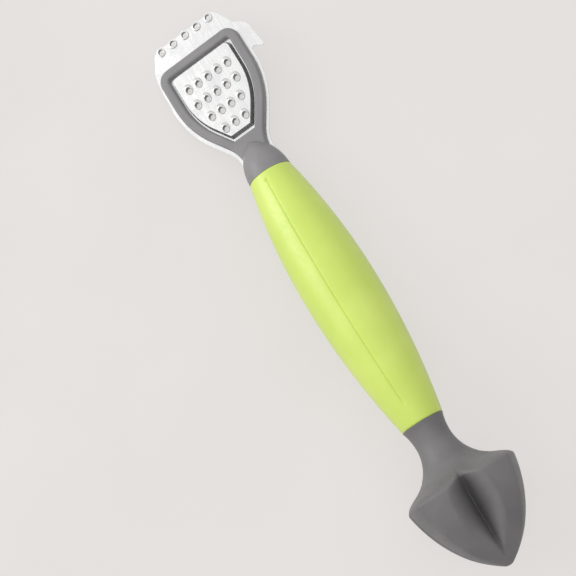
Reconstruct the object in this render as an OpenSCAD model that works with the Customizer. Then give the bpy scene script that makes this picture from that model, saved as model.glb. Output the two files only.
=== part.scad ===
// Citrus tool: a stamped steel zesting and grating blade in a moulded frame, a spindle handle and a fluted reamer.
// Every piece is drawn along the tool's own axis, +X to the blade and +Z out of the grating face, and the whole
// tool is then laid down as it comes to rest on a table: on the lips of one reamer flute and on the far end.

/* [Handle] */
// Length of the green handle between its two seams.
handle_length = 98; // [94:1:104]
// Radius of the handle at its widest.
belly_radius = 12.8; // [12:0.1:13.6]
// How far the widest place lies from the middle, toward the blade.
belly_shift = 3; // [0:0.5:6]
// Radius at the seam with the blade's collar.
collar_seam_radius = 7.9; // [7.7:0.1:8.4]
// Radius at the seam with the reamer's neck.
neck_seam_radius = 7.5; // [7.3:0.1:8]
// Radius of the round-bottomed groove down the front of the handle.
groove_radius = 0.8; // [0.6:0.1:1.1]
// Depth of that groove.
groove_depth = 0.5; // [0.3:0.1:0.6]
// Radius of the round dimple at the groove's blade end.
dimple_radius = 1.3; // [1.1:0.1:1.6]
// Distance from the blade seam to the groove's end.
groove_gap_blade = 3.4; // [2.5:0.1:5]
// Distance from the reamer seam to the groove's end.
groove_gap_reamer = 6.4; // [5:0.1:9]

/* [Blade outline] */
// Thickness of the steel sheet.
sheet = 0.9; // [0.8:0.1:1]
// Half of the blade's greatest width.
blade_half_width = 17.7; // [17:0.1:18.4]
// Distance from the blade seam to the widest place.
widest_reach = 38.2; // [37.6:0.2:38.8]
// Distance from the blade seam to the straight line of the zesting edge.
edge_reach = 60.4; // [60:0.2:61]
// Radius of the curved sides below the widest place.
side_radius = 32; // [31:0.5:33]
// Angle through which the sides turn before they run straight.
side_sweep = 33; // [32:0.5:34]
// Radius of the inward curve where the blade narrows to the collar.
fillet_radius = 12; // [11:0.5:13]
// Half of the blade's width at the collar.
blade_neck_half_width = 6.4; // [6.2:0.1:6.6]
// Half-width and distance from the edge line of the bend into the slanted corner.
shoulder_half_width = 17.1; // [16.8:0.1:17.3]
shoulder_drop = 7.8; // [7:0.2:8.6]
// Half-width at which the slanted corner meets the edge line.
corner_half_width = 12.6; // [12.2:0.1:13]

/* [Zesting edge] */
// Number of zesting holes along the edge.
zest_holes = 5; // [3:2:5]
// Spacing of those holes.
zest_pitch = 5.15; // [5:0.05:5.3]
// Radius of each hole.
zest_hole_radius = 1.1; // [1:0.05:1.2]
// Distance from the edge line back to the centres of the holes.
zest_inset = 1.3; // [1.1:0.1:1.5]
// Radius of the rounded lobe of sheet round each hole.
lobe_radius = 1.9; // [1.8:0.05:2]
// Height and wall of the punched lip that stands round each hole.
lip_height = 0.35; // [0.2:0.05:0.5]
lip_wall = 0.3; // [0.25:0.05:0.4]

/* [Channel hook] */
// How far the hook stands out beyond the blade's side.
hook_reach = 4.4; // [4:0.1:5]
// Length of the hook from its tip to its rounded shoulder.
hook_length = 13.4; // [13:0.2:14]
// How far the hook's tip lies beyond the blade's widest place.
hook_tip_shift = 1.1; // [0.8:0.1:1.6]
// Depth of the notch behind the tip.
notch_depth = 2.2; // [1.8:0.1:2.6]

/* [Grating table] */
// Height of the drawn table above the sheet.
table_height = 2.2; // [2:0.1:2.6]
// Run of the table's sloping wall.
table_wall_run = 0.9; // [0.7:0.1:1]
// Width of the strip of sheet between the frame's band and the foot of that wall.
table_gap = 0.4; // [0.35:0.05:0.5]
// Distance from the edge line to the table's straight top edge.
table_top_drop = 13; // [13:0.1:13.4]
// Length of the table along the tool.
table_length = 28.9; // [28:0.1:29]
// Radius of the table's two upper corners.
table_corner_radius = 1.6; // [1:0.1:2]
// Number of teeth in each row, from the zesting edge down.
teeth_rows = [5, 5, 4, 3];
// Spacing of teeth in a row.
tooth_pitch = 4.14; // [4:0.05:4.2]
// Spacing of the rows.
row_pitch = 6.33; // [6.1:0.05:6.4]
// Distance from the table's top edge to the first row.
first_row_drop = 6.2; // [6:0.1:6.4]

/* [Grating tooth] */
// Outer radius of the round hood that is pushed up behind each hole, and how deep its centre lies in the table.
hood_radius = 1.4; // [1.3:0.05:1.45]
hood_sink = 0.35; // [0.3:0.05:0.45]
// Thickness of the drawn-out steel of the hood.
hood_wall = 0.35; // [0.3:0.05:0.45]
// Radius of the hole in front of the hood.
tooth_hole_radius = 1.05; // [1:0.05:1.1]
// Distance between the centres of the hood and the hole.
tooth_throw = 1.1; // [1:0.05:1.2]
// Height and wall of the lip that stands round the hole.
tooth_lip_height = 0.25; // [0.2:0.05:0.35]
tooth_lip_wall = 0.25; // [0.2:0.05:0.35]

/* [Moulded frame] */
// Width of the frame's band round the table.
band_width = 3.35; // [3:0.05:3.5]
// Height of the band above the sheet on the front.
band_height = 2; // [1.8:0.1:2.3]
// Height of the plain band behind the sheet.
back_height = 1.4; // [1.3:0.1:1.5]
// Radii that round the band's free edges on the front and on the back.
band_rounding = 0.9; // [0.7:0.1:0.95]
back_rounding = 0.4; // [0.3:0.1:0.5]
// Width of bare steel that shows outside the band.
steel_margin = 1.25; // [1:0.05:1.5]
// Distance from the edge line to the band's outer top edge.
band_top_drop = 8.3; // [8:0.1:8.6]
// Outer radius of the band's upper corners.
band_corner_radius = 4.55; // [4.2:0.05:5]
// Distance from the blade seam to the bottom edge of the window in the frame.
window_reach = 16.5; // [16.2:0.1:16.8]
// Radius of the curve by which the collar closes in toward the blade.
collar_nose_radius = 17.5; // [17:0.5:19]

/* [Reamer] */
// Length of the reamer from the seam to its tip.
reamer_length = 54.2; // [52:0.2:56]
// Turn of the reamer about the tool's axis, against the grating face.
reamer_turn = 17; // [0:1:20]
// Distance from the seam to the waist of the neck, and the waist's radius.
waist_reach = 6.5; // [6:0.1:7]
waist_radius = 6.35; // [6.2:0.05:6.6]
// Distance from the seam to the shoulder.
shoulder_reach = 22.9; // [22.4:0.1:23.4]
// Half-width over the flat sides at the shoulder, and the radius over the ridges there.
shoulder_side = 19.9; // [19.4:0.1:20.4]
shoulder_ridge = 23.3; // [23.2:0.05:23.6]
// Angle at which the flare meets the shoulder, at the ridges and at the sides.
flare_angle_ridge = 70; // [68:1:72]
flare_angle_side = 56; // [54:1:58]
// Radius by which each of the four sides bulges.
side_bulge_radius = 38.3; // [37:0.1:40]
// Angle at which the sides and the ridges start to close in below the shoulder.
side_start_angle = 6.5; // [6:0.5:8]
ridge_start_angle = 8.3; // [8:0.1:8.6]
// Radius of the rounded tip, and how far beyond it the four sides would meet.
tip_radius = 4; // [3.5:0.5:4]
tip_trim = 0.35; // [0.3:0.05:0.4]

/* [Reamer flutes] */
// Places along the reamer between which a flute is measured: high up in the flare, and near the tip.
flute_top = 18.6; // [18.2:0.1:19]
flute_end = 49; // [48:0.1:50]
// Distance of the flute's floor from the axis at those two places.
flute_floor_top = 13.1; // [12.6:0.1:13.6]
flute_floor_end = 6.9; // [6.5:0.1:7.3]
// Radius of the flute's round bottom at those two places.
flute_radius_top = 5.1; // [4.9:0.1:5.1]
flute_radius_end = 2; // [2:0.05:2.1]
// Radius and slope of the shallow hollow that eases the side into the flute, and its depth at the shoulder.
lip_radius = 12; // [10:0.5:14]
lip_slope = 22; // [20:0.5:24]
lip_depth = 1; // [0.8:0.1:1.2]

/* [Hidden joints] */
// Side of the square spigots of the frame and the reamer, and how far they go into the handle.
spigot_side = 9; // [8.6:0.2:9.2]
spigot_length = 22; // [18:1:26]
// Half-width of the blade's tang, and how far it reaches past the seam into the spigot.
tang_half_width = 3.2; // [3:0.1:3.4]
tang_length = 16; // [12:1:17]
// Distance from the blade seam at which the blade narrows to its tang, inside the collar.
tang_step = 6.6; // [6.4:0.1:6.8]
// Play of the blade's root and tang in their slots.
slot_gap = 0.02; // [0.02:0.01:0.05]

/* [Hidden] */
$fn = 96;
// Overlap by which a cut reaches through a flat face.
cut = 0.01;

seam_x = handle_length / 2;
widest_x = seam_x + widest_reach;
edge_x = seam_x + edge_reach;
window_x = seam_x + window_reach;

blade_arc_radius = level_arc_radius(handle_length / 2 - belly_shift, belly_radius - collar_seam_radius);
reamer_arc_radius = level_arc_radius(handle_length / 2 + belly_shift, belly_radius - neck_seam_radius);

// Offsets inward from the blade's outline to the middle of the band and to the edge of the table's top.
band_middle = steel_margin + band_width / 2;
table_offset = steel_margin + band_width + table_gap + table_wall_run;
table_top_x = edge_x - table_top_drop;
table_bottom_x = table_top_x - table_length;
row_x = table_top_x - first_row_drop;
hole_x = edge_x - zest_inset;

band_top_x = edge_x - band_top_drop - band_width / 2;
band_corner_middle = band_corner_radius - band_width / 2;
corner_x = band_top_x - band_corner_middle;
corner_y = blade_half_width - band_middle - band_corner_middle;

// The side of the blade below its widest place is an arc, a straight run and an inward fillet. All outlines that
// follow it at some offset share the same two centres.
side_centre = [widest_x, blade_half_width - side_radius];
fillet_y = blade_neck_half_width + fillet_radius;
run_length = (side_centre[1] + side_radius * cos(side_sweep) - fillet_y + fillet_radius * cos(side_sweep))
    / sin(side_sweep);
fillet_x = widest_x - (side_radius + fillet_radius) * sin(side_sweep) - run_length * cos(side_sweep);
fillet_centre = [fillet_x, fillet_y];

// The collar's nose ends in a small flat that lies inside the web between the two sides of the band.
collar_flat = 1.5;
collar_reach = sqrt(pow(collar_nose_radius, 2) - pow(collar_nose_radius - collar_seam_radius + collar_flat, 2));

hook_tip = [widest_x + hook_tip_shift, blade_half_width + hook_reach];

// Reamer: offset of each side's own lathe axis, and the arcs of the neck, sides and ridges.
lathe_offset = side_bulge_radius - shoulder_side;
neck_arc_radius = level_arc_radius(waist_reach, neck_seam_radius - waist_radius);
flare_radius = (shoulder_reach - waist_reach - (shoulder_ridge - waist_radius) / tan(flare_angle_ridge))
    / tan(flare_angle_ridge / 2);
flare_top = waist_reach + flare_radius * sin(flare_angle_ridge);
below_shoulder = reamer_length + tip_trim - shoulder_reach;
side_arc_radius = ogive_radius(below_shoulder, shoulder_side, side_start_angle);
tip_centre = reamer_length - tip_radius;
ridge_arc_radius = tip_arc_radius(tip_centre - shoulder_reach, shoulder_ridge, ridge_start_angle, tip_radius);
ridge_arc_centre = [
    shoulder_ridge - ridge_arc_radius * cos(ridge_start_angle),
    shoulder_reach - ridge_arc_radius * sin(ridge_start_angle)
];
// Height at which the ridges run into the rounded tip.
tip_start = tip_centre + (tip_centre - ridge_arc_centre[1]) * tip_radius / (ridge_arc_radius - tip_radius);
// A radius beyond the whole reamer, for the cuts of its profile.
stock_radius = shoulder_ridge + 2.7;
// The straight flare of a side ends this far in from the shoulder, where it lies outside the neck.
side_flare = 8.8;
side_neck_half = shoulder_side - side_flare;
side_neck_end = shoulder_reach - side_flare / tan(flare_angle_side);

flute_run = flute_end - flute_top;
flute_axis_top = flute_floor_top + flute_radius_top;
flute_axis_end = flute_floor_end + flute_radius_end;
flute_angle = atan((flute_axis_top - flute_axis_end) / flute_run);
flute_taper = (flute_radius_top - flute_radius_end) / flute_run * cos(flute_angle);

// Rest: the reamer lies on the two lips of its lower flute, and the other end comes down until the handle's belly
// or the corner of the frame's back band meets the table.
lip_half_width = flute_radius_top - (flute_radius_top - flute_radius_end) * (shoulder_reach - flute_top) / flute_run;
lip_low = sqrt(pow(side_bulge_radius, 2) - pow(lip_half_width, 2)) - lathe_offset;
lip_x = -seam_x - shoulder_reach;
belly_centre_dx = belly_shift - lip_x;
belly_centre_dz = blade_arc_radius - belly_radius + lip_low;
lean_on_belly = atan(belly_centre_dz / belly_centre_dx)
    - asin(blade_arc_radius / norm([belly_centre_dx, belly_centre_dz]));
band_low = (blade_half_width - steel_margin) * sin(reamer_turn) + (sheet + back_height) * cos(reamer_turn);
lean_on_band = atan((lip_low - band_low) / (corner_x - lip_x));
lean = min(lean_on_belly, lean_on_band);
lift = lip_low * cos(lean) + lip_x * sin(lean);
shift_x = (seam_x + reamer_length - hole_x - lobe_radius) / 2 * cos(lean);
shift_y = (hook_tip[1] * cos(reamer_turn) - shoulder_side) / 2;

// Radius of an arc that leaves its end level and drops by the given amount over the given run.
function level_arc_radius(run, drop) = (run * run + drop * drop) / (2 * drop);

// Radius of the arc that starts at the shoulder at a slight angle to the axis and meets the axis at the tip.
function ogive_radius(run, half, angle) =
    (run * run + half * half) / (2 * (half * cos(angle) - run * sin(angle)));

// Radius of such an arc that runs smoothly into a round tip instead, whose centre lies the given run away.
function tip_arc_radius(run, half, angle, tip) =
    (run * run + half * half - tip * tip) / (2 * (half * cos(angle) - run * sin(angle) - tip));

// Points along an arc, by angle in degrees.
function arc(centre, radius, from, to, steps) =
    [for (i = [0:steps]) let (a = from + (to - from) * i / steps) centre + radius * [cos(a), sin(a)]];

// Points along a curve pulled toward one control point.
function bend(a, pull, b, steps) =
    [for (i = [0:steps]) let (t = i / steps) a * pow(1 - t, 2) + pull * 2 * t * (1 - t) + b * pow(t, 2)];

// A corner of an outline, rounded with the given radius.
function rounded(before, corner, after, radius, steps) =
    let (
        u = (before - corner) / norm(before - corner),
        v = (after - corner) / norm(after - corner),
        half = acos(u * v) / 2,
        middle = corner + (u + v) / norm(u + v) * radius / sin(half),
        first = corner + u * radius / tan(half),
        last = corner + v * radius / tan(half),
        a0 = atan2(first[1] - middle[1], first[0] - middle[0]),
        a1 = atan2(last[1] - middle[1], last[0] - middle[0]),
        turn = a1 - a0 > 180 ? a1 - a0 - 360 : a1 - a0 < -180 ? a1 - a0 + 360 : a1 - a0
    )
    arc(middle, radius, a0, a0 + turn, steps);

function mirrored(points) = [for (i = [len(points) - 1:-1:0]) [points[i][0], -points[i][1]]];

// The arc of the side at an offset inward, from the widest place down.
function side_arc(offset) = arc(side_centre, side_radius - offset, 90, 90 + side_sweep, 14);

// The fillet at the same offset, from the straight run down to the neck.
function neck_fillet(offset) = arc(fillet_centre, fillet_radius + offset, side_sweep - 90, -90, 8);

// Half of the blade's outline, from the middle of its zesting edge to its tang.
function blade_side() = concat(
    rounded([edge_x, 0], [edge_x, corner_half_width], [edge_x - shoulder_drop, shoulder_half_width], 2.2, 6),
    rounded([edge_x, corner_half_width], [edge_x - shoulder_drop, shoulder_half_width],
        [widest_x, blade_half_width], 14, 8),
    side_arc(0),
    neck_fillet(0),
    [[seam_x + tang_step, blade_neck_half_width]]
);

// Half of the table's outline at an offset inward from the blade's side, grown endwise by the same amount.
function table_side(inset) =
    let (
        grow = table_offset - inset,
        top = table_top_x + grow,
        half = blade_half_width - inset,
        low = side_centre + (side_radius - inset) * [-sin(side_sweep), cos(side_sweep)],
        bottom = table_bottom_x - grow,
        foot = low[1] - (low[0] - bottom) * tan(side_sweep)
    )
    concat(
        rounded([top, 0], [top, half], [widest_x, half], table_corner_radius + grow, 6),
        side_arc(inset),
        [[bottom, foot]]
    );

module blade_outline() {
    polygon(concat(blade_side(), mirrored(blade_side())));
    for (i = [0:zest_holes - 1])
        translate([hole_x, (i - (zest_holes - 1) / 2) * zest_pitch])
            circle(lobe_radius);
    mirror([0, 1])
        hook_outline();
}

// The channel hook: a rounded shoulder, a long back, a blunt tip and a round notch behind it.
module hook_outline() {
    root = [hook_tip[0] + hook_length, shoulder_half_width - 1];
    back = [hook_tip[0] + 7.3, hook_tip[1] - 0.65];
    notch = [hook_tip[0] + notch_depth, blade_half_width + 0.9];
    polygon(concat(
        [[widest_x + 1, blade_half_width - 2], [root[0], root[1] - 2]],
        bend(root, [root[0] - 1.8, hook_tip[1] - 1], back, 10),
        bend([hook_tip[0] + 0.6, hook_tip[1]], hook_tip, [hook_tip[0] + 0.1, hook_tip[1] - 0.7], 4),
        bend([hook_tip[0] + 1, hook_tip[1] - 2.1], notch, [hook_tip[0] + 1.2, blade_half_width - 0.1], 8)
    ));
}

module flat_sheet() {
    translate([0, 0, -sheet])
        linear_extrude(sheet) {
            blade_outline();
            translate([seam_x - tang_length, -tang_half_width])
                square([tang_length + tang_step + 1, 2 * tang_half_width]);
        }
}

// The drawn table, solid: its foot is one wall run wider than its top.
module table_block(inset, low, high) {
    foot = table_side(inset - table_wall_run);
    top = table_side(inset);
    loft(concat(foot, mirrored(foot)), low, concat(top, mirrored(top)), high);
}

module each_tooth() {
    for (row = [0:len(teeth_rows) - 1])
        for (i = [0:teeth_rows[row] - 1])
            translate([row_x - row * row_pitch, (i - (teeth_rows[row] - 1) / 2) * tooth_pitch, table_height])
                children();
}

// One tooth: a round hood toward the zesting edge, and a low lip round the hole in front of it.
module tooth_hood() {
    translate([tooth_throw / 2, 0, -hood_sink])
        sphere(hood_radius, $fn = 48);
    translate([-tooth_throw / 2, 0, -sheet / 2])
        cylinder(r = tooth_hole_radius + tooth_lip_wall, h = sheet / 2 + tooth_lip_height, $fn = 48);
}

// The hollow under the hood, and the hole, whose edge against the hood is the cutting edge.
module tooth_opening() {
    translate([tooth_throw / 2, 0, -hood_sink])
        sphere(hood_radius - hood_wall, $fn = 48);
    translate([-tooth_throw / 2, 0, -2])
        cylinder(r = tooth_hole_radius, h = 4, $fn = 48);
}

module zester_blade() {
    color([0.86, 0.87, 0.88])
        difference() {
            union() {
                flat_sheet();
                table_block(table_offset, -sheet / 2, table_height);
                each_tooth()
                    tooth_hood();
                each_zest_hole()
                    cylinder(r = zest_hole_radius + lip_wall, h = lip_height);
            }
            table_block(table_offset + sheet * 0.8, -sheet - cut, table_height - sheet);
            each_tooth()
                tooth_opening();
            each_zest_hole()
                translate([0, 0, -2])
                    cylinder(r = zest_hole_radius, h = 4);
        }
}

module each_zest_hole() {
    for (i = [0:zest_holes - 1])
        translate([hole_x, (i - (zest_holes - 1) / 2) * zest_pitch, 0])
            children();
}

// A solid between two level outlines that have the same number of points.
module loft(foot, low, top, high) {
    count = len(foot);
    polyhedron(
        concat([for (p = foot) [p[0], p[1], low]], [for (p = top) [p[0], p[1], high]]),
        concat(
            [[for (i = [0:count - 1]) i]],
            [for (i = [0:count - 1]) let (j = (i + 1) % count) [i, count + i, count + j, j]],
            [[for (i = [count - 1:-1:0]) count + i]]
        )
    );
}

// Cross-section of the band: flat on the sheet, rounded along both top edges.
module band_section(height, rounding) {
    inner = band_width / 2 - rounding;
    translate([-band_width / 2, 0])
        square([band_width, height - rounding]);
    translate([-inner, 0])
        square([2 * inner, height]);
    for (side = [-1, 1])
        translate([side * inner, height - rounding])
            circle(rounding);
}

module band_run(length, height, rounding) {
    rotate([90, 0, 90])
        linear_extrude(length)
            band_section(height, rounding);
}

module band_bend(radius, angle, height, rounding) {
    rotate_extrude(angle = angle)
        translate([radius, 0])
            band_section(height, rounding);
}

// One side of the band: round the top corner, straight to the widest place, round the side's arc, in along the
// straight run and out again along the fillet, whose end lies inside the collar.
module band_half(height, rounding) {
    side_middle = side_radius - band_middle;
    translate([corner_x, corner_y, 0])
        band_bend(band_corner_middle, 90, height, rounding);
    translate([widest_x, corner_y + band_corner_middle, 0])
        band_run(corner_x - widest_x, height, rounding);
    translate([side_centre[0], side_centre[1], 0]) {
        intersection() {
            rotate([0, 0, 90])
                band_bend(side_middle, side_sweep + 3, height, rounding);
            rotate([0, 0, side_sweep])
                cube([side_radius, side_radius, height]);
        }
        rotate([0, 0, side_sweep])
            translate([-run_length, side_middle, 0]) {
                band_run(run_length, height, rounding);
                translate([0, fillet_radius + band_middle, 0])
                    mirror([1, 0, 0])
                        rotate([0, 0, -90])
                            band_bend(fillet_radius + band_middle, side_sweep, height, rounding);
            }
    }
}

// The web that fills the neck between the two sides of the band, up to the cross bar under the window.
module neck_web(height, rounding) {
    bar_x = window_x - band_width / 2;
    side = concat(side_arc(band_middle), neck_fillet(band_middle),
        [[seam_x + 1, blade_neck_half_width - band_middle]]);
    linear_extrude(height)
        intersection() {
            polygon(concat(side, mirrored(side)));
            translate([seam_x, -blade_half_width])
                square([bar_x - seam_x, 2 * blade_half_width]);
        }
    translate([bar_x, 0, 0])
        rotate([90, 0, 0])
            linear_extrude(2 * bar_half(bar_x), center = true)
                band_section(height, rounding);
}

// Half-width of the middle of the band where it crosses a place on the fillet.
function bar_half(x) = fillet_y - sqrt(pow(fillet_radius + band_middle, 2) - pow(x - fillet_x, 2));

module band(height, rounding) {
    for (side = [0, 1])
        mirror([0, side, 0])
            band_half(height, rounding);
    translate([band_top_x, 0, 0])
        rotate([90, 0, 0])
            linear_extrude(2 * corner_y, center = true)
                band_section(height, rounding);
    neck_web(height, rounding);
}

// The collar: a blunt nose that closes in toward the blade.
module collar() {
    translate([seam_x, 0, 0])
        rotate([0, 90, 0])
            rotate_extrude()
                intersection() {
                    translate([collar_seam_radius - collar_nose_radius, 0])
                        circle(collar_nose_radius);
                    square([collar_seam_radius, collar_reach]);
                }
    translate([seam_x - spigot_length, -spigot_side / 2, -spigot_side / 2])
        cube([spigot_length + 1, spigot_side, spigot_side]);
}

module head_frame() {
    color([0.45, 0.44, 0.45]) {
        difference() {
            union() {
                band(band_height, band_rounding);
                translate([0, 0, -sheet])
                    mirror([0, 0, 1])
                        band(back_height, back_rounding);
                collar();
            }
            // The slot that the blade's root and tang fill.
            translate([seam_x + tang_step, -blade_neck_half_width - 2, -sheet - slot_gap])
                cube([12, 2 * blade_neck_half_width + 4, sheet + 2 * slot_gap]);
            translate([seam_x - tang_length, -tang_half_width, -sheet - slot_gap])
                cube([tang_length + tang_step + 1, 2 * tang_half_width, sheet + 2 * slot_gap]);
        }
    }
}

// Half of the handle on one side of its widest place, turned about +Z from a level arc.
module handle_half(radius, length) {
    rotate_extrude()
        intersection() {
            translate([belly_radius - radius, 0])
                circle(radius, $fn = 360);
            square([belly_radius, length]);
        }
}

// A groove of the same curve as the handle, closed by a ball at its far end.
module groove(radius, length) {
    path = radius - groove_depth + groove_radius;
    sweep = asin(length / path);
    translate([belly_shift, 0, belly_radius - radius])
        rotate([90, 0, 0]) {
            rotate([0, 0, 90 - sweep])
                rotate_extrude(angle = sweep, $fn = 360)
                    translate([path, 0])
                        circle(groove_radius, $fn = 32);
            rotate([0, 0, 90 - sweep])
                translate([path, 0, 0])
                    sphere(groove_radius, $fn = 32);
        }
}

module handle_grip() {
    to_blade = handle_length / 2 - belly_shift;
    to_reamer = handle_length / 2 + belly_shift;
    dimple_x = seam_x - groove_gap_blade;
    dimple_z = sqrt(pow(blade_arc_radius, 2) - pow(dimple_x - belly_shift, 2)) - blade_arc_radius + belly_radius;
    color([0.76, 0.88, 0.3])
        difference() {
            translate([belly_shift, 0, 0]) {
                rotate([0, 90, 0])
                    handle_half(blade_arc_radius, to_blade);
                rotate([0, -90, 0])
                    handle_half(reamer_arc_radius, to_reamer);
            }
            groove(blade_arc_radius, to_blade - groove_gap_blade);
            translate([2 * belly_shift, 0, 0])
                mirror([1, 0, 0])
                    groove(reamer_arc_radius, to_reamer - groove_gap_reamer);
            translate([dimple_x, 0, dimple_z + dimple_radius - groove_depth])
                sphere(dimple_radius, $fn = 48);
            translate([seam_x - spigot_length, -spigot_side / 2, -spigot_side / 2])
                cube([spigot_length + 1, spigot_side, spigot_side]);
            rotate([reamer_turn, 0, 0])
                translate([-seam_x - 1, -spigot_side / 2, -spigot_side / 2])
                    cube([spigot_length + 1, spigot_side, spigot_side]);
        }
}

// Profile about the true axis: seam, waist, flare to the ridges, and ridges closing in to the tip.
module ridge_profile() {
    difference() {
        square([shoulder_ridge, shoulder_reach]);
        intersection() {
            translate([waist_radius + neck_arc_radius, waist_reach])
                circle(neck_arc_radius);
            translate([0, -1])
                square([stock_radius, waist_reach + 1]);
        }
        intersection() {
            translate([waist_radius + flare_radius, waist_reach])
                circle(flare_radius);
            translate([0, waist_reach])
                square([stock_radius, flare_top - waist_reach]);
        }
        polygon([
            [waist_radius + flare_radius * (1 - cos(flare_angle_ridge)), flare_top],
            [stock_radius, flare_top],
            [stock_radius, shoulder_reach + 1],
            [shoulder_ridge + 1 / tan(90 - flare_angle_ridge), shoulder_reach + 1]
        ]);
    }
    intersection() {
        translate(ridge_arc_centre)
            circle(ridge_arc_radius, $fn = 180);
        translate([0, shoulder_reach])
            square([shoulder_ridge, tip_start - shoulder_reach]);
    }
    intersection() {
        translate([0, tip_centre])
            circle(tip_radius);
        translate([0, tip_start])
            square(tip_radius);
    }
}

// Profile of one side, about that side's own axis: an upright part past the neck, a flare, and the ogive below.
module side_profile() {
    polygon([
        [0, -1],
        [lathe_offset + side_neck_half, -1],
        [lathe_offset + side_neck_half, side_neck_end],
        [lathe_offset + shoulder_side, shoulder_reach],
        [0, shoulder_reach]
    ]);
    intersection() {
        translate([
            lathe_offset + shoulder_side - side_arc_radius * cos(side_start_angle),
            shoulder_reach - side_arc_radius * sin(side_start_angle)
        ])
            circle(side_arc_radius, $fn = 180);
        translate([0, shoulder_reach])
            square([side_bulge_radius, below_shoulder + 1]);
    }
}

// One flute: a tapering round channel, and the shallow hollow that eases the side into it.
module flute() {
    // How far the channel and the hollow run on past the reamer's surface at either end.
    above = 11;
    below = 7;
    lip_above = 12;
    lip_length = 42;
    top_radius = flute_radius_top + flute_taper * above;
    end_radius = flute_radius_end - flute_taper * below;
    length = flute_run / cos(flute_angle) + above + below;
    translate([flute_axis_top, 0, flute_top])
        rotate([0, -flute_angle, 0])
            translate([0, 0, -above])
                cylinder(r1 = top_radius, r2 = end_radius, h = length);
    translate([shoulder_side - lip_depth, 0, shoulder_reach])
        rotate([0, -lip_slope, 0])
            translate([lip_radius, 0, -lip_above])
                cylinder(r = lip_radius, h = lip_length);
}

module reamer() {
    color([0.45, 0.44, 0.45])
        rotate([reamer_turn, 0, 0])
            translate([-seam_x, 0, 0])
                rotate([0, -90, 0]) {
                    difference() {
                        intersection() {
                            rotate_extrude()
                                ridge_profile();
                            for_each_side()
                                translate([-lathe_offset, 0, 0])
                                    rotate_extrude()
                                        side_profile();
                        }
                        for (side = [0:3])
                            rotate([0, 0, 90 * side])
                                flute();
                    }
                    translate([-spigot_side / 2, -spigot_side / 2, -spigot_length])
                        cube([spigot_side, spigot_side, spigot_length + 1]);
                }
}

// What the four copies of a shape, a quarter turn apart, have in common.
module for_each_side() {
    intersection() {
        children();
        rotate([0, 0, 90])
            children();
        rotate([0, 0, 180])
            children();
        rotate([0, 0, 270])
            children();
    }
}

module laid_down() {
    translate([shift_x, shift_y, lift])
        rotate([0, lean, 0])
            rotate([-reamer_turn, 0, 0])
                children();
}

laid_down() zester_blade();
laid_down() head_frame();
laid_down() handle_grip();
laid_down() reamer();
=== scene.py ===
# %% [markdown]
# # A citrus zester, laid down on a pale table
#
# The tool has four pieces: a stamped steel blade, a grey moulded frame round it, a green spindle handle and a grey
# fluted reamer. Their solids come in as the fixed frame. The handle and the reamer are worked out again here as fine
# surfaces, since a soft moulding has no hard edge anywhere. The blade and its frame keep their solids, and the
# blade's punched holes get their rolled rims. Everything then gets its finish, its light and a camera.

# %% Load the solids
import math

import bpy
import numpy as np
from mathutils import Euler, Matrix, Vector


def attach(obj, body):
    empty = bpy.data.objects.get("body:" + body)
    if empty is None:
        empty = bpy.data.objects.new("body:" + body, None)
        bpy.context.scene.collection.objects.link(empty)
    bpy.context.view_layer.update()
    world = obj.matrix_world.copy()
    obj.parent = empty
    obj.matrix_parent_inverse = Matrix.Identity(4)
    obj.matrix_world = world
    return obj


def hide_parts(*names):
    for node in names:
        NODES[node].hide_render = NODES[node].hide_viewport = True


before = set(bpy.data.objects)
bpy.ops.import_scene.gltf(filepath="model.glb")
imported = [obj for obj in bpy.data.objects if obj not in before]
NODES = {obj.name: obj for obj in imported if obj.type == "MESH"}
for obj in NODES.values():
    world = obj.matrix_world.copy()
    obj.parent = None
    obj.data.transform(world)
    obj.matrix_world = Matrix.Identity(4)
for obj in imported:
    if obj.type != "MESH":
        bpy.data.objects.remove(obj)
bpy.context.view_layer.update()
print("nodes:", sorted(NODES))

# %% [markdown]
# ## The tool's own axis
#
# Every shape below is written along the tool's axis in millimetres, as its maker would draw it: +X toward the
# zesting edge, +Z out of the grating face, zero at the middle of the handle. On the table the tool lies on the two
# lips of one reamer flute and on its far end, so it is rolled by 17 degrees and leans by a little over 4 degrees.
# Each shape could be drawn lying down at once, but its formulas would be harder to read. So one function lays any
# shape down in that way, in metres, where the solids lie.

# %% Laying the tool down
MM_PER_METRE = 1000
REAMER_TURN = 17.0
LEAN = 4.27985
LAID_DOWN_SHIFT = np.array([-3.39052, 0.617168, 14.1948])


def lay_down(points):
    """Rolls about X by -17 degrees, leans about Y, shifts, and turns millimetres into metres."""
    roll, lean = math.radians(-REAMER_TURN), math.radians(LEAN)
    about_x = np.array([[1, 0, 0], [0, math.cos(roll), -math.sin(roll)], [0, math.sin(roll), math.cos(roll)]])
    about_y = np.array([[math.cos(lean), 0, math.sin(lean)], [0, 1, 0], [-math.sin(lean), 0, math.cos(lean)]])
    return ((points @ about_x.T) @ about_y.T + LAID_DOWN_SHIFT) / MM_PER_METRE


print("the middle of the handle lies at", np.round(lay_down(np.zeros((1, 3))), 4))

# %% [markdown]
# ## The camera
#
# The photograph looks almost straight down on the tool, from half a metre away, with the blade at the upper left and
# the reamer at the lower right. The place and the turn below were solved from the handle's two seams, its outline
# and the rows of teeth. The lens is long: 21.7 degrees across the square picture.

# %% Camera
CAMERA_PLACE = Vector((-0.06587, 0.03872, 0.50509))
CAMERA_TURN = Euler([math.radians(a) for a in (8.784, 2.075, -120.624)])
HALF_PICTURE_PIXELS, LENS_PIXELS = 288, 1500
VIEW_ANGLE = 2 * math.atan(HALF_PICTURE_PIXELS / LENS_PIXELS)


def put_in_scene(name, data):
    """Makes an object of that name from a mesh, a lamp or a camera, and links it into the scene."""
    thing = bpy.data.objects.new(name, data)
    bpy.context.collection.objects.link(thing)
    return thing


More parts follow.
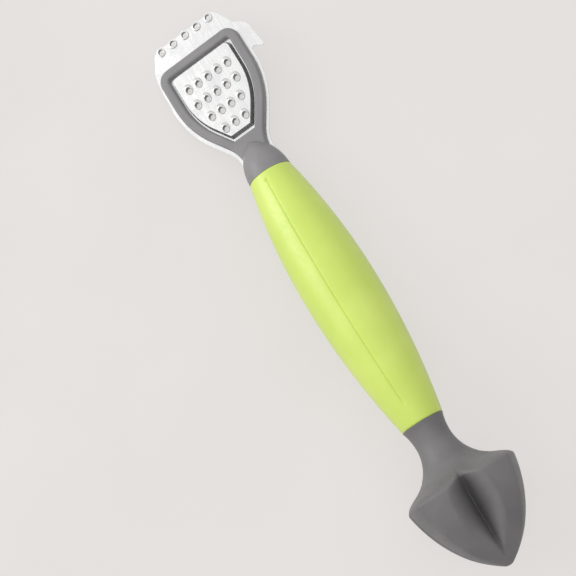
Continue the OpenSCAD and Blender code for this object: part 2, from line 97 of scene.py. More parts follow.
camera_data = bpy.data.cameras.new("camera")
camera_data.sensor_fit = "HORIZONTAL"
camera_data.angle = VIEW_ANGLE
camera = put_in_scene("camera", camera_data)
camera.location = CAMERA_PLACE
camera.rotation_euler = CAMERA_TURN
bpy.context.scene.camera = camera
print("camera at", tuple(round(v, 3) for v in CAMERA_PLACE))

# %% [markdown]
# ## From a grid of points to a piece
#
# Both soft mouldings are turned shapes with something pressed into them. They could be lathes with the hollows cut
# by booleans, but a cut leaves hard and uneven edges. So each is one closed skin round the axis: rings of points from
# one end to the other, with a single point where the skin closes on the axis. A ring is a row of the array, and the
# radius is a function of the angle and of the place along the axis. Nothing is looped over: the whole skin is one
# array, and so are its faces.

# %% Closed skins


def ring_faces(rings, around):
    """Quads between neighbouring rings, and a fan of triangles onto the pole at either end."""
    ring, step = np.meshgrid(np.arange(rings - 1), np.arange(around), indexing="ij")
    after = (step + 1) % around
    base = 1 + ring * around
    quads = np.stack([base + step, base + after, base + around + after, base + around + step], axis=-1)
    k = np.arange(around)
    low_fan = np.stack([np.zeros_like(k), 1 + (k + 1) % around, 1 + k], axis=-1)
    top = 1 + (rings - 1) * around
    high_fan = np.stack([np.full_like(k, top + around), top + k, top + (k + 1) % around], axis=-1)
    return quads.reshape(-1, 4), np.concatenate([low_fan, high_fan])


def smooth_mesh(name, points, faces):
    """A smooth-shaded mesh of points along the tool's own axis, laid down, and faces as lists of point numbers."""
    mesh = bpy.data.meshes.new(name)
    mesh.from_pydata(lay_down(points).tolist(), [], faces)
    mesh.polygons.foreach_set("use_smooth", np.ones(len(faces), dtype=bool))
    mesh.update()
    return mesh


def skin(name, along, radius, angles, node):
    """Builds the closed skin whose ring i lies at along[i], with radius[i, k] in the direction angles[k]."""
    y, z = radius * np.cos(angles), radius * np.sin(angles)
    x = np.broadcast_to(along[:, None], radius.shape)
    rings = np.stack([x, y, z], axis=-1).reshape(-1, 3)
    points = np.concatenate([[[along[0], 0, 0]], rings, [[along[-1], 0, 0]]])
    quads, fans = ring_faces(len(along), len(angles))
    piece = put_in_scene(name, smooth_mesh(name, points, quads.tolist() + fans.tolist()))
    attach(piece, "root")
    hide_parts(node)
    size = np.ptp(lay_down(points), axis=0) * MM_PER_METRE
    print(name, "has", len(points), "points, box in mm", np.round(size, 2))
    return piece


def square_bar(angles, side, turn):
    """Radius of a square bar in each direction: half its side over the larger of |cos| and |sin|."""
    turned = angles - math.radians(turn)
    return side / 2 / np.maximum(np.abs(np.cos(turned)), np.abs(np.sin(turned)))


print("three rings of four points have", sum(len(faces) for faces in ring_faces(3, 4)), "faces")

# %% [markdown]
# ## The handle
#
# The real handle is a spindle of rubbery plastic, moulded over a core, with one hairline groove down its front that
# starts in a small dimple near the blade. The spindle is two arcs that share a level tangent at its widest place.
# A groove that fine could be a bump in the material, but it wouldn't show in the outline or in the exported shape.
# So the angles are crowded round the front, and the radius loses a narrow cosine trough there. Each end has a rounded
# rim, and the square socket for the neighbour's spigot.

# %% Handle values
SEAM = 49.0
BELLY_RADIUS, BELLY_SHIFT = 12.8, 3.0
BLADE_SEAM_RADIUS, REAMER_SEAM_RADIUS = 7.9, 7.5
SPIGOT_SIDE, SPIGOT_LENGTH = 9.0, 22.0
RIM_ROUNDING, RIM_SWEEP_DEGREES, RIM_RINGS = 0.35, 75, 6
GROOVE_HALF_WIDTH, GROOVE_DEPTH = 0.55, 0.3
GROOVE_ENDS, GROOVE_FADES = (-42.6, 45.6), (2.0, 0.5)
DIMPLE_RADIUS, DIMPLE_DEPTH = 1.05, 0.45


def level_arc_radius(run, drop):
    """Radius of an arc that leaves its end level and drops by that much over that run: (run^2 + drop^2) / 2 drop."""
    return (run * run + drop * drop) / (2 * drop)


def spindle(x):
    """Radius along the handle: the widest radius less the fall of the arc on that side of the widest place."""
    to_blade = level_arc_radius(SEAM - BELLY_SHIFT, BELLY_RADIUS - BLADE_SEAM_RADIUS)
    to_reamer = level_arc_radius(SEAM + BELLY_SHIFT, BELLY_RADIUS - REAMER_SEAM_RADIUS)
    arc = np.where(x > BELLY_SHIFT, to_blade, to_reamer)
    return BELLY_RADIUS - arc + np.sqrt(arc**2 - (x - BELLY_SHIFT) ** 2)


def trough(distance, half_width):
    """One at the middle, falling to zero at the half-width as a raised cosine."""
    return 0.5 + 0.5 * np.cos(np.pi * np.clip(np.abs(distance) / half_width, 0, 1))


def rim(radius, seam, outward):
    """Most of a quarter circle from the flat end face out to the side: places along the axis, and radii."""
    turn = np.radians(np.linspace(0, RIM_SWEEP_DEGREES, RIM_RINGS))
    return seam - outward * RIM_ROUNDING * (1 - np.cos(turn)), radius - RIM_ROUNDING * (1 - np.sin(turn))


print("handle radius at its seams and its belly:", np.round(spindle(np.array([-SEAM, SEAM, BELLY_SHIFT])), 2))

# %% Handle grid
# Angles are crowded round the front by a cube, and rings are finer round the dimple.
HANDLE_AROUND, EVEN_SHARE, CROWDED_SHARE = 240, 0.1, 0.9
BODY_MARGIN, COARSE_END, FINE_START = 0.5, 43.0, 43.1
COARSE_RINGS, FINE_RINGS = 200, 50

u = np.linspace(-1, 1, HANDLE_AROUND, endpoint=False)
handle_angles = np.pi / 2 + np.pi * (EVEN_SHARE * u + CROWDED_SHARE * u**3)
body_x = np.concatenate([
    np.linspace(-SEAM + BODY_MARGIN, COARSE_END, COARSE_RINGS),
    np.linspace(FINE_START, SEAM - BODY_MARGIN, FINE_RINGS),
])
body = np.repeat(spindle(body_x)[:, None], HANDLE_AROUND, axis=1)
sideways = body * (handle_angles - np.pi / 2)
from_low_end, from_high_end = body_x - GROOVE_ENDS[0], GROOVE_ENDS[1] - body_x
fade = np.clip(from_low_end / GROOVE_FADES[0], 0, 1) * np.clip(from_high_end / GROOVE_FADES[1], 0, 1)
from_dimple = np.hypot(sideways, body_x[:, None] - GROOVE_ENDS[1])
body -= GROOVE_DEPTH * trough(sideways, GROOVE_HALF_WIDTH) * fade[:, None]
body -= DIMPLE_DEPTH * trough(from_dimple, DIMPLE_RADIUS)
print("the handle's side is", body.shape[0], "rings of", body.shape[1], "points")

# %% Handle piece


def socket_end(radius, outward, turn):
    """Rings from the bottom of the square socket to its mouth, then over the end face and round the rim."""
    rim_x, rim_radius = rim(radius, SEAM * outward, outward)
    places = np.concatenate([[outward * (SEAM - SPIGOT_LENGTH), outward * SEAM], rim_x])
    socket = square_bar(handle_angles, SPIGOT_SIDE, turn)
    rings = np.concatenate([[socket, socket], np.repeat(rim_radius[:, None], HANDLE_AROUND, axis=1)])
    return places, rings


low_x, low_rings = socket_end(REAMER_SEAM_RADIUS, -1, REAMER_TURN)
high_x, high_rings = socket_end(BLADE_SEAM_RADIUS, 1, 0)
handle = skin(
    "handle_body",
    np.concatenate([low_x, body_x, high_x[::-1]]),
    np.concatenate([low_rings, body, high_rings[::-1]]),
    handle_angles,
    "handle_grip",
)

# %% [markdown]
# ## The reamer
#
# The real reamer is a moulding in one shot: a waisted neck, a flare, and a cone with four ridges and bulging sides.
# It could be cut from a lathe, but every cut would leave an edge to round by hand. In polar form every limit on the
# shape is a radius for each angle and place: the ridges, the bulging sides and the shallow lips. The form is the
# smallest of them. A plain minimum would give knife edges, and a moulding has none, so a smooth minimum rounds each
# edge by as much as its own value says.

# %% Reamer limits
REAMER_LENGTH = 52.7
WAIST_PLACE, WAIST_RADIUS, NECK_ARC, FLARE_ARC = 6.5, 6.35, 18.94, 14.611
SHOULDER, SIDE_HALF, RIDGE_RADIUS = 22.9, 19.9, 23.3
SIDE_BULGE = 38.3
FAR, NEARLY_ZERO = 60, 1e-6


def smooth_min(a, b, width):
    """The smaller of two radii, less h^2 times a quarter of the width, where h = 1 - |a - b| / width, if positive."""
    h = np.clip(1 - np.abs(a - b) / width, 0, 1)
    return np.minimum(a, b) - h * h * width / 4


def neck_and_flare(t, flare_degrees):
    """Radius of the neck, which is an arc on each side of the waist and a straight flare beyond the second arc."""
    flare = math.radians(flare_degrees)
    arc_run = FLARE_ARC * math.sin(flare)
    neck = WAIST_RADIUS + NECK_ARC - np.sqrt(NECK_ARC**2 - np.clip(WAIST_PLACE - t, 0, None) ** 2)
    on_arc = np.clip(t - WAIST_PLACE, 0, arc_run)
    straight = np.clip(t - (WAIST_PLACE + arc_run), 0, None) * math.tan(flare)
    opening = WAIST_RADIUS + FLARE_ARC - np.sqrt(FLARE_ARC**2 - on_arc**2) + straight
    return np.where(t < WAIST_PLACE, neck, opening)


def closing(t, half, start_degrees, length, tip):
    """Radius of the arc that starts at the shoulder at a slight angle and runs smoothly into a round tip."""
    start, run = math.radians(start_degrees), length - tip - SHOULDER
    arc = (run**2 + half**2 - tip**2) / (2 * (half * math.cos(start) - run * math.sin(start) - tip))
    middle_r, middle_t = half - arc * math.cos(start), SHOULDER - arc * math.sin(start)
    join = length - tip + (length - tip - middle_t) * tip / (arc - tip)
    down = np.clip(t - middle_t, 0, None)
    on_arc = middle_r + np.sqrt(np.clip(arc**2 - down**2, 0, None))
    on_tip = np.sqrt(np.clip(tip**2 - (t - length + tip) ** 2, 0, None))
    return np.where(t < join, on_arc, on_tip)


def in_direction(radius, offset, off_angle):
    """Distance from the tool's axis to a circle of that radius whose centre lies behind the axis by the offset."""
    return np.sqrt(np.clip(radius**2 - (offset * np.sin(off_angle)) ** 2, 0, None)) - offset * np.cos(off_angle)


def hollow(middle, radius, off_angle, draft_degrees):
    """Distance to a round-bottomed channel: its near arc, then walls that open by the draft angle, then nothing."""
    draft = math.radians(draft_degrees)
    angle = np.abs(off_angle)
    across = np.clip(middle * np.sin(angle) / radius, 0, 1)
    arc = middle * np.cos(angle) - radius * np.sqrt(1 - across**2)
    touch = np.arctan2(radius * math.cos(draft), middle - radius * math.sin(draft))
    slope = np.clip(np.cos(angle) * math.tan(draft) - np.sin(angle), NEARLY_ZERO, None)
    wall = (middle * math.tan(draft) - radius / math.cos(draft)) / slope
    return np.where(angle < touch, arc, np.clip(wall, 0, FAR))


print("two equal radii of 5 mm, eased over 1 mm, meet at", smooth_min(5.0, 5.0, 1.0))

# %% Reamer grid
# Places are millimetres from the handle's seam. Rings are crowded where the form turns: at the shoulder and the tip.
REAMER_AROUND = 360
NECK_START, NECK_END, FLARE_START = RIM_ROUNDING + 0.3, 17.0, 17.3
FLARE_MARGIN, CONE_MARGIN, CROWD_HALF, CROWD_RINGS = 3.0, 3.1, 1.5, 26
CONE_END, TIP_START, LAST_STEP = 49.0, 49.4, 0.03
NECK_RINGS, FLARE_RINGS, CONE_RINGS, TIP_RINGS = 34, 10, 60, 18

crowd_even = np.linspace(-CROWD_HALF, CROWD_HALF, CROWD_RINGS)[1:-1]
crowd_cubed = CROWD_HALF * np.linspace(-1, 1, CROWD_RINGS)[1:-1] ** 3
ring_places = np.concatenate([
    np.linspace(NECK_START, NECK_END, NECK_RINGS),
    np.linspace(FLARE_START, SHOULDER - FLARE_MARGIN, FLARE_RINGS),
    SHOULDER + crowd_cubed + crowd_even,
    np.linspace(SHOULDER + CONE_MARGIN, CONE_END, CONE_RINGS),
    REAMER_LENGTH - (REAMER_LENGTH - TIP_START) * np.linspace(1, LAST_STEP, TIP_RINGS) ** 2,
])
reamer_angles = np.linspace(0, 2 * np.pi, REAMER_AROUND, endpoint=False)
tt, aa = np.meshgrid(ring_places, reamer_angles, indexing="ij")
# The angle from the middle of the nearest of the four sides.
off_side = (aa - math.radians(90 + REAMER_TURN) + np.pi / 4) % (np.pi / 2) - np.pi / 4
print("the reamer's side is", tt.shape[0], "rings of", tt.shape[1], "points")

# %% Reamer form
RIDGE_FLARE_DEGREES, RIDGE_START_DEGREES, RIDGE_TIP = 70, 8.3, 4.0
SIDE_FLARE_DEGREES, SIDE_FLARE_DROP = 56, 8.8
SIDE_START_DEGREES, SIDE_OVERRUN, SIDE_TIP = 6.5, 0.4, 1.0
FLARE_ROUNDING, RIDGE_ROUNDING, SHOULDER_ROUNDING = 1.2, 0.9, 1.6
LIP_RADIUS, LIP_DEPTH, LIP_SLOPE, LIP_DRAFT_DEGREES, LIP_ROUNDING = 12.0, 1.3, 20.0, 40, 1.2
TIP_FADE, LEAST_SHARE = 5, 0.02

ridge_up = neck_and_flare(tt, RIDGE_FLARE_DEGREES)
ridge_down = closing(tt, RIDGE_RADIUS, RIDGE_START_DEGREES, REAMER_LENGTH, RIDGE_TIP)
side_slope = math.tan(math.radians(SIDE_FLARE_DEGREES))
side_flare = SIDE_HALF - np.clip(SHOULDER - tt, 0, SIDE_FLARE_DROP / side_slope) * side_slope
side_flare = side_flare + np.clip(tt - SHOULDER, 0, None) * side_slope
side_cone = closing(tt, SIDE_HALF, SIDE_START_DEGREES, REAMER_LENGTH + SIDE_OVERRUN, SIDE_TIP)
offset = SIDE_BULGE - SIDE_HALF
side_up = in_direction(offset + side_flare, offset, off_side)
side_down = in_direction(offset + side_cone, offset, off_side)

to_tip = np.clip((REAMER_LENGTH - tt) / TIP_FADE, LEAST_SHARE, 1)
upper = smooth_min(ridge_up, side_up, FLARE_ROUNDING)
lower = smooth_min(ridge_down, side_down, RIDGE_ROUNDING * to_tip)
form = smooth_min(upper, lower, SHOULDER_ROUNDING * to_tip)
lip_middle = SIDE_HALF - LIP_DEPTH + LIP_RADIUS - (tt - SHOULDER) * math.tan(math.radians(LIP_SLOPE))
form = smooth_min(form, hollow(lip_middle, LIP_RADIUS, off_side, LIP_DRAFT_DEGREES), LIP_ROUNDING * to_tip)
print("largest radius before the flutes:", round(float(form.max()), 2))

# %% [markdown]
# ## The flutes
#
# Each side of the real cone has a deep flute for the juice. It starts in a point on the flare, is deepest a little
# past the shoulder and dies out before the tip. A round cutter would give it a blunt start and hard edges. So the
# flute is taken off the form as a soft trough: a depth for each place along the axis, times a raised cosine across,
# which is wider where the flute is deeper. Its bottom is marked for painted shade: the material darkens it to stand
# for the shade that falls deep in the flute.

# %% Flutes
FLUTE_PLACES = np.array([18.2, 19.4, 20.8, 22.8, 25.5, 29.4, 33.0, 36.5, 40.0, 43.5, 46.5, 49.0, 50.2])
FLUTE_DEPTHS = np.array([0.0, 0.3, 1.3, 3.6, 5.6, 6.4, 6.2, 5.3, 4.0, 2.6, 1.3, 0.35, 0.0])
FLUTE_LEAST_HALF, FLUTE_HALF_PER_DEPTH = 0.8, 1.2
FLUTE_MOUTH_POWER, FLUTE_FLOOR_POWER = 0.8, 1.6
# The painted shade in the flute bottoms: its half-width as a share of the flute's, and the depth where it is full.
PAINTED_SHADE_HALF, PAINTED_SHADE_DEPTH = 0.4, 3

flute_depth = np.interp(tt, FLUTE_PLACES, FLUTE_DEPTHS)
from_middle = np.abs(form * off_side) / (FLUTE_LEAST_HALF + FLUTE_HALF_PER_DEPTH * flute_depth)
form = form - flute_depth * trough(from_middle**FLUTE_MOUTH_POWER, 1) ** FLUTE_FLOOR_POWER
# The painted shade mask: strongest along the flute's bottom, and fuller where the flute is deeper.
flute_bottom_shade = np.exp(-((from_middle / PAINTED_SHADE_HALF) ** 2)) * np.clip(flute_depth / PAINTED_SHADE_DEPTH, 0, 1)
print("reamer's smallest and largest radius:", round(float(form.min()), 2), round(float(form.max()), 2))

# %% Reamer piece
SPIGOT_GAP = 0.02


def mark_points(mesh, name, values):
    """Stores one number for each point of the mesh, which a material reads by that name."""
    marks = mesh.attributes.new(name, "FLOAT", "POINT")
    marks.data.foreach_set("value", values.astype(np.float32))


rim_t, rim_radius = rim(REAMER_SEAM_RADIUS, 0.0, -1)
rim_rings = np.repeat(rim_radius[::-1, None], REAMER_AROUND, axis=1)
spigot = square_bar(reamer_angles, SPIGOT_SIDE - SPIGOT_GAP, REAMER_TURN)
rings = np.concatenate([form[::-1], rim_rings, [spigot, spigot]])
places = -SEAM - np.concatenate([ring_places[::-1], rim_t[::-1], [0, -SPIGOT_LENGTH]])
reamer = skin("reamer_body", places, rings, reamer_angles, "reamer")
reamer.data.vertices[0].co = Vector(lay_down(np.array([[-SEAM - REAMER_LENGTH, 0, 0]]))[0])
# The flute bottoms' painted shade goes onto the points as an attribute, which the grey material reads.
painted_shade = np.zeros(rings.shape)
painted_shade[: len(ring_places)] = flute_bottom_shade[::-1]
mark_points(reamer.data, "painted_shade", np.concatenate([[0], painted_shade.ravel(), [0]]))
print("points marked as more than half unworn:", int((painted_shade > 0.5).sum()))

# %% [markdown]
# ## The rims of the punched holes
#
# A grating tooth is punched from below: the steel is pushed up into a hood toward the zesting edge, and its torn
# rim rolls round the hole in front. A zesting hole has an even lip. The rims could be tubes bent round the holes, but
# a tube lies on the sheet and doesn't grow out of it. So each is a ring that rises from the sheet on a quarter
# ellipse between an outer and an inner outline, and whose inner wall goes down through the steel. All rings of a kind
# are one array. An attribute marks painted shade: the cut wall inside a hole, a little duller in truth, is painted
# nearly black for the shade that falls in it, and the crease at the foot of the rim is painted darker for its shade.

# %% Rims
RIM_STEPS, FACE_STEPS = 40, 9
HOOD_POWER, FOOT_SINK, WALL_INSET = 1.3, 0.3, 0.9
# How much painted shade a section's points get: its foot, the nine points of its rolled face, and the two ends of its
# wall.
SECTION_SHEAR_AND_SHADE = np.array([0.5, 0.5, 0.12, 0, 0, 0, 0, 0, 0, 0.5, 1, 1])
SECTION_POINTS = len(SECTION_SHEAR_AND_SHADE)


def rims(name, centres, outer, inner_shift, inner_radius, height, depth):
    """Rings round the given centres: quarter-ellipse section from the outer to the inner outline, then the wall."""
    phi = np.linspace(0, 2 * np.pi, RIM_STEPS, endpoint=False)
    around = np.stack([np.cos(phi), np.sin(phi)], axis=-1)
    outer_line = around * outer
    inner_line = around * inner_radius + [inner_shift, 0]
    rise = height[0] + (height[1] - height[0]) * (0.5 + 0.5 * np.cos(phi)) ** HOOD_POWER
    a = np.radians(np.linspace(0, 90, FACE_STEPS))
    face = outer_line[:, None] + (inner_line - outer_line)[:, None] * (1 - np.cos(a))[None, :, None]
    wall = [inner_line[:, None], outer_line[:, None] * WALL_INSET]
    section = np.concatenate([outer_line[:, None], face, *wall], axis=1)
    foot_z, wall_z = np.full((RIM_STEPS, 1), -FOOT_SINK), np.full((RIM_STEPS, 2), -depth)
    z = np.concatenate([foot_z, rise[:, None] * np.sin(a), wall_z], axis=1)
    flat = np.concatenate([section, z[..., None]], axis=-1)
    points = (flat[None] + centres[:, None, None]).reshape(-1, 3)
    counts = [np.arange(count) for count in (len(centres), RIM_STEPS, SECTION_POINTS)]
    ring, k, j = np.meshgrid(*counts, indexing="ij")
    step_k, step_j = (k + 1) % RIM_STEPS, (j + 1) % SECTION_POINTS
    corners = [(k, j), (step_k, j), (step_k, step_j), (k, step_j)]
    faces = np.stack([(ring * RIM_STEPS + kk) * SECTION_POINTS + jj for kk, jj in corners], axis=-1)
    mesh = smooth_mesh(name, points, faces.reshape(-1, 4).tolist())
    # The attribute paints shade: darkest on the wall inside the hole, half as dark at the rim's foot.
    mark_points(mesh, "shear_and_shade", np.tile(SECTION_SHEAR_AND_SHADE, len(centres) * RIM_STEPS))
    piece = put_in_scene(name, mesh)
    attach(piece, "root")
    print(name, "has", len(centres), "rings")
    return piece


# %% Rows of rims
TABLE_HEIGHT, FIRST_ROW, ROW_PITCH, TOOTH_PITCH = 2.2, 90.2, 6.33, 4.14
TEETH_IN_ROWS = (5, 5, 4, 3)
ZEST_ROW, ZEST_PITCH, ZEST_HOLES = 108.1, 5.15, 5

tooth_places = np.array([
    (FIRST_ROW - row * ROW_PITCH, (i - (count - 1) / 2) * TOOTH_PITCH, TABLE_HEIGHT)
    for row, count in enumerate(TEETH_IN_ROWS) for i in range(count)
])
zest_places = np.array([(ZEST_ROW, (i - (ZEST_HOLES - 1) / 2) * ZEST_PITCH, 0.0) for i in range(ZEST_HOLES)])
tooth_rims = rims(
    "tooth_rims", tooth_places,
    outer=(2.0, 1.5), inner_shift=-0.5, inner_radius=0.98, height=(0.38, 1.12), depth=0.85,
)
zest_rims = rims(
    "zest_rims", zest_places,
    outer=(1.62, 1.62), inner_shift=0.0, inner_radius=1.08, height=(0.45, 0.45), depth=0.85,
)

# %% [markdown]
# ## Small helpers for materials
#
# Each finish is a short list of shader nodes. They could be written out one by one, with a line for every link, but
# the recipe would be lost among them. These helpers make a node, set its sockets and link it, so that each material
# below reads as a recipe.

# %% Node helpers


def start_material(name):
    """A new node material with its Principled shader, and the object coordinates that every pattern reads."""
    material = bpy.data.materials.new(name)
    material.use_nodes = True
    tree = material.node_tree
    shader = tree.nodes["Principled BSDF"]
    place = tree.nodes.new("ShaderNodeTexCoord").outputs["Object"]
    return material, tree, shader, place


def set_inputs(tree, node, values):
    """Sets each input, given by its name or number, or links it where the value is another node's output."""
    for key, value in values.items():
        if isinstance(value, bpy.types.NodeSocket):
            tree.links.new(value, node.inputs[key])
        else:
            node.inputs[key].default_value = value


def add_node(tree, kind, settings=(), **inputs):
    """Adds a shader node, sets its properties, and sets or links each input; an underscore stands for a space."""
    node = tree.nodes.new(kind)
    for key, value in dict(settings).items():
        setattr(node, key, value)
    set_inputs(tree, node, {key.replace("_", " "): value for key, value in inputs.items()})
    return node


def combine(tree, operation, first, second, kind="ShaderNodeMath"):
    """One value worked out from two, each a number or another node's value, by the named operation."""
    node = add_node(tree, kind, {"operation": operation})
    set_inputs(tree, node, {0: first, 1: second})
    return node.outputs["Value"]


def put_on(piece, material):
    """Gives a piece, or a CAD node, its only material."""
    piece.data.materials.clear()
    piece.data.materials.append(material)


print("node helpers are ready")

# %% Pattern helpers
# Noise stays near a half, so this part of its range is stretched to the whole.
NOISE_LOW, NOISE_HIGH = 0.35, 0.65
GRAIN_METRES = 0.0001


def noise(tree, place, scale, detail, stretch=None):
    """Noise of so many cells per metre, with each axis scaled first where a stretch is given."""
    if stretch:
        place = add_node(tree, "ShaderNodeMapping", Vector=place, Scale=stretch).outputs["Vector"]
    return add_node(tree, "ShaderNodeTexNoise", Vector=place, Scale=scale, Detail=detail).outputs["Fac"]


def between(tree, factor, low, high, from_low=NOISE_LOW, from_high=NOISE_HIGH):
    """A value that eases from low to high while the factor goes over its own range."""
    node = add_node(
        tree, "ShaderNodeMapRange", {"interpolation_type": "SMOOTHSTEP"},
        Value=factor, From_Min=from_low, From_Max=from_high, To_Min=low, To_Max=high,
    )
    return node.outputs["Result"]


def blend_colours(tree, factor, low, high):
    """A colour that goes from low to high with the factor; each is three numbers or another node's colour."""
    low, high = (value if isinstance(value, bpy.types.NodeSocket) else (*value, 1) for value in (low, high))
    return add_node(tree, "ShaderNodeMix", {"data_type": "RGBA"}, Factor=factor, A=low, B=high).outputs["Result"]


def grain_normal(tree, height, strength):
    """The surface's direction, tipped by a relief of a tenth of a millimetre times the strength."""
    return add_node(tree, "ShaderNodeBump", Strength=strength, Distance=GRAIN_METRES, Height=height).outputs["Normal"]


print("noise is eased from", NOISE_LOW, "to", NOISE_HIGH)

# %% [markdown]
# ## The green rubbery plastic
#
# The real grip is soft to the touch: a lime green with a broad, dull sheen and a very fine spark-eroded grain from
# its mould. One flat green would look like paint. Three noises make it: one of a couple of centimetres by which the
# colour drifts, one of a millimetre for the gloss, and one of a third of a millimetre for the grain.

# %% Green finish
LIME_DEEP, LIME_PALE = (0.60, 0.78, 0.06), (0.66, 0.825, 0.09)
LIME_ROUGHNESS = (0.42, 0.52)

green, tree, shader, place = start_material("lime_soft_plastic")
drift = between(tree, noise(tree, place, scale=60, detail=3), 0, 1)
set_inputs(tree, shader, {
    "Base Color": blend_colours(tree, drift, LIME_DEEP, LIME_PALE),
    "Roughness": between(tree, noise(tree, place, scale=900, detail=2), *LIME_ROUGHNESS),
    "Normal": grain_normal(tree, noise(tree, place, scale=3200, detail=3), strength=0.10),
    "IOR": 1.7,
    "Specular IOR Level": 0.9,
    "Sheen Weight": 0.3,
    "Sheen Roughness": 0.6,
})
put_on(handle, green)
print("green finish on", handle.name)

# %% [markdown]
# ## The grey nylon
#
# Frame and reamer are the same satin nylon, in two lots, of which the reamer's is darker. It is a warm grey with a
# fine even mould texture, slightly blotched where the melt cooled unevenly. Two separate recipes would drift apart,
# so one recipe takes the colours. The noise is read from the object's own place, so that both pieces match in scale.
# The bottoms of the flutes get a painted shade, dark as the shade deep in them would be: an attribute marks them.

# %% Grey finish
FRAME_DARK, FRAME_LIGHT, FRAME_ROUGHNESS = (0.24, 0.233, 0.239), (0.268, 0.26, 0.266), 0.44
REAMER_DARK, REAMER_LIGHT, REAMER_ROUGHNESS = (0.165, 0.158, 0.161), (0.19, 0.183, 0.186), 0.5
SMOOTHER, ROUGHER = 0.04, 0.06
# How dark the painted shade in the flute bottoms is, as a share of the dark colour.
PAINTED_SHADE_DIM = 0.65


def grey_nylon(name, dark, light, rough):
    """Satin moulded nylon: colour drift of a few per cent, gloss that varies, a fine grain, and painted shade in the
    flutes.
    """
    material, tree, shader, place = start_material(name)
    drift = between(tree, noise(tree, place, scale=90, detail=4), 0, 1)
    # The painted shade of the flute bottoms darkens the colour where the attribute is high.
    painted_shade = add_node(tree, "ShaderNodeAttribute", {"attribute_name": "painted_shade"}).outputs["Fac"]
    painted_shade_colour = [PAINTED_SHADE_DIM * value for value in dark]
    set_inputs(tree, shader, {
        "Base Color": blend_colours(tree, painted_shade, blend_colours(tree, drift, dark, light), painted_shade_colour),
        "Roughness": between(tree, noise(tree, place, scale=700, detail=2), rough - SMOOTHER, rough + ROUGHER),
        "Normal": grain_normal(tree, noise(tree, place, scale=2600, detail=3), strength=0.12),
        "Specular IOR Level": 0.5,
    })
    return material


put_on(NODES["head_frame"], grey_nylon("grey_nylon_frame", FRAME_DARK, FRAME_LIGHT, FRAME_ROUGHNESS))
put_on(reamer, grey_nylon("grey_nylon_reamer", REAMER_DARK, REAMER_LIGHT, REAMER_ROUGHNESS))
print("grey finish on the frame and the reamer")

# %% [markdown]
# ## The steel sheet
#
# The blade is bright rolled stainless sheet. Rolling leaves hair-fine lines along the strip. An anisotropic shader
# could suggest them, but it needs a direction on every face. So the roughness and a very shallow bump come from a
# noise that is stretched seventyfold along the tool. Handling adds faint smears.

# %% Steel finish
STEEL_DARK, STEEL_LIGHT = (0.795, 0.795, 0.795), (0.825, 0.825, 0.82)
CELLS_ALONG, CELLS_ACROSS = 60, 4200
SMEAR_ROUGHNESS, LINE_GLOSS = (0.215, 0.245), (0.8, 1.2)

steel, tree, shader, place = start_material("rolled_stainless")
lines = noise(tree, place, scale=1.0, detail=3, stretch=(CELLS_ALONG, CELLS_ACROSS, CELLS_ALONG))
smears = noise(tree, place, scale=160, detail=2)
line_gloss, smear_gloss = between(tree, lines, *LINE_GLOSS), between(tree, smears, *SMEAR_ROUGHNESS)
set_inputs(tree, shader, {
    "Base Color": blend_colours(tree, between(tree, smears, 0, 1), STEEL_DARK, STEEL_LIGHT),
    "Roughness": combine(tree, "MULTIPLY", line_gloss, smear_gloss),
    "Normal": grain_normal(tree, lines, strength=0.05),
    "Metallic": 1.0,
})
put_on(NODES["zester_blade"], steel)
print("steel finish on the blade")

# %% [markdown]
# ## The punched steel
#
# The rims are the same sheet, but drawn and torn by the punch: the rolled lines are gone. The cut wall inside a hole
# is a little dull, and is painted nearly black for the shade that falls in it; the crease at the rim's foot gets
# painted shade too. A second material on the wall's faces would end in a hard line. So one material follows the
# attribute that the rims carry, which fades from the painted shade to the rolled face.

# %% Punched steel
# The rolled face's colour, and the near black painted for the shade inside a hole and at the rim's foot.
PUNCHED_BRIGHT, SHEARED_AND_SHADED_DARK = (0.79, 0.79, 0.79), (0.07, 0.068, 0.066)
PUNCHED_ROUGHNESS = (0.18, 0.34)

punched, tree, shader, place = start_material("punched_stainless")
# The attribute carries the painted shade from the rims' points.
shear_and_shade = add_node(tree, "ShaderNodeAttribute", {"attribute_name": "shear_and_shade"}).outputs["Fac"]
set_inputs(tree, shader, {
    "Base Color": blend_colours(tree, shear_and_shade, PUNCHED_BRIGHT, SHEARED_AND_SHADED_DARK),
    "Roughness": between(tree, noise(tree, place, scale=900, detail=3), *PUNCHED_ROUGHNESS),
    "Normal": grain_normal(tree, noise(tree, place, scale=3000, detail=2), strength=0.1),
    "Metallic": 1.0,
})
put_on(tooth_rims, punched)
put_on(zest_rims, punched)
print("punched finish on", tooth_rims.name, "and", zest_rims.name)

# %% [markdown]
# ## The light of the room
#
# The photograph was lit by one broad soft source at the upper left and a pale room. Many lamps could build that, but
# steel would mirror each of them. The world does it here: its brightness rises smoothly toward the source, so that
# steel walls that face away mirror something darker. Behind the floor the camera sees the world pale.

# %% World
TOWARD_LIGHT = Vector((0.50, 0.20, 0.80)).normalized()
DIMMEST, BRIGHTEST = 0.06, 0.96
DIMMEST_AT, BRIGHTEST_AT = -1.0, 0.98
SEEN_LEVEL = 0.78

world = bpy.data.worlds.new("studio")
bpy.context.scene.world = world
world.use_nodes = True
tree = world.node_tree
sky = tree.nodes.new("ShaderNodeTexCoord").outputs["Generated"]
facing = combine(tree, "DOT_PRODUCT", sky, TOWARD_LIGHT, "ShaderNodeVectorMath")
level = between(tree, facing, DIMMEST, BRIGHTEST, DIMMEST_AT, BRIGHTEST_AT)
seen = tree.nodes.new("ShaderNodeLightPath").outputs["Is Camera Ray"]
behind = combine(tree, "MULTIPLY", seen, SEEN_LEVEL)
set_inputs(tree, tree.nodes["Background"], {
    "Color": (1, 1, 1, 1),
    "Strength": combine(tree, "MAXIMUM", level, behind),
})
print("the world goes from", DIMMEST, "to", BRIGHTEST)

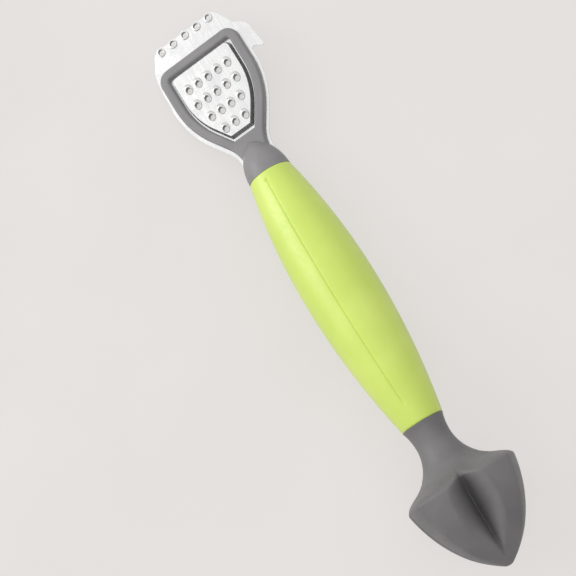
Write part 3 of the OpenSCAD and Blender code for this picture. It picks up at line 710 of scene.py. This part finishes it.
# %% [markdown]
# ## The lamp
#
# The room alone would leave the tool without a clear shadow. One soft lamp, lower than the source and more to the
# left, gives the shadows and the pale sheen on the handle's left. A sun would give them hard edges, so the lamp is a
# panel half a metre across.

# %% Lamp
TOWARD_LAMP = Vector((0.50, 0.75, 0.42)).normalized()
LAMP_DISTANCE, LAMP_SIZE, LAMP_WATTS = 0.9, 0.5, 2.4

key_light = bpy.data.lights.new("key_lamp", "AREA")
key_light.size = LAMP_SIZE
key_light.energy = LAMP_WATTS
key_lamp = put_in_scene("key_lamp", key_light)
key_lamp.location = TOWARD_LAMP * LAMP_DISTANCE
key_lamp.rotation_euler = (-TOWARD_LAMP).to_track_quat("-Z", "Y").to_euler()
print("lamp at", tuple(round(v, 2) for v in key_lamp.location))

# %% [markdown]
# ## The table
#
# The tool lies on a plain pale surface. More light on it would be light on the tool too. So the floor glows a little
# for the camera and for the steel that mirrors it, and its own shading is mixed in beneath, so that the shadow shows
# and stays light.

# %% Floor
FLOOR_SIZE = 6.0
FLOOR_DARK, FLOOR_LIGHT, FLOOR_BASE = (0.79, 0.762, 0.745), (0.81, 0.782, 0.765), (0.55, 0.53, 0.52, 1)
GLOW_STRENGTH, GLOW_SHARE = 1.12, 0.7

corners = FLOOR_SIZE / 2 * np.array([[-1, -1, 0], [1, -1, 0], [1, 1, 0], [-1, 1, 0]])
floor_mesh = bpy.data.meshes.new("floor")
floor_mesh.from_pydata(corners.tolist(), [], [(0, 1, 2, 3)])
floor = put_in_scene("floor", floor_mesh)

pale, tree, shader, place = start_material("pale_table")
set_inputs(tree, shader, {"Base Color": FLOOR_BASE, "Roughness": 0.9})
drift = between(tree, noise(tree, place, scale=12, detail=3), 0, 1)
floor_colour = blend_colours(tree, drift, FLOOR_DARK, FLOOR_LIGHT)
glow = add_node(tree, "ShaderNodeEmission", Color=floor_colour, Strength=GLOW_STRENGTH)
rays = add_node(tree, "ShaderNodeLightPath").outputs
seen = combine(tree, "MAXIMUM", rays["Is Camera Ray"], rays["Is Glossy Ray"])
seen = combine(tree, "MAXIMUM", seen, rays["Is Transmission Ray"])
mix = add_node(tree, "ShaderNodeMixShader", Fac=combine(tree, "MULTIPLY", seen, GLOW_SHARE))
set_inputs(tree, mix, {1: shader.outputs["BSDF"], 2: glow.outputs["Emission"]})
set_inputs(tree, tree.nodes["Material Output"], {"Surface": mix.outputs["Shader"]})
put_on(floor, pale)
bpy.context.scene.view_settings.view_transform = "Standard"
print("floor is in place,", FLOOR_SIZE, "m across")
